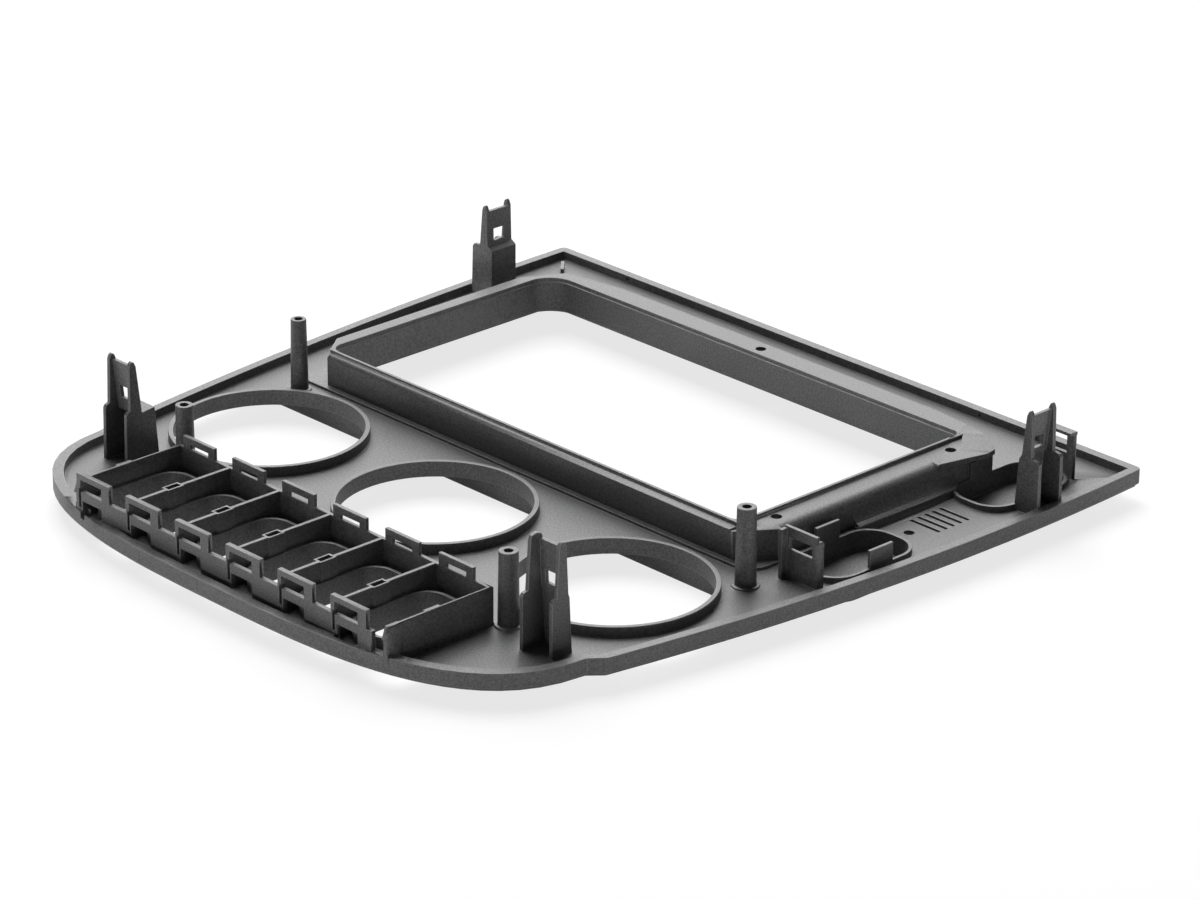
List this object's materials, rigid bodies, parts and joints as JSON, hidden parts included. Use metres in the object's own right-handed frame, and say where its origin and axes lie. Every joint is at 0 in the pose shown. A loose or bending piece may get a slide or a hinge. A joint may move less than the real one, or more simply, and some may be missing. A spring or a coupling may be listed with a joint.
{
  "type": "car radio mounting frame",
  "caption": "Dashboard frame that holds a double-height car radio, with round dial holes, a row of switch pockets, screw bosses and snap towers on its back.",
  "frame": {"origin": "middle of the outline, at the front face of the screen surround that the frame lies on", "axes": "+X along the long side of the radio opening, +Y from the switch pockets to the radio edge, +Z from the front face to the back with the towers"},
  "size_m": [0.2694, 0.2724, 0.0444],
  "materials": {
    "frame": "dark grey moulded plastic, fine matt grain"
  },
  "bodies": {
    "root": {"frame": "frame"}
  },
  "joints": []
}
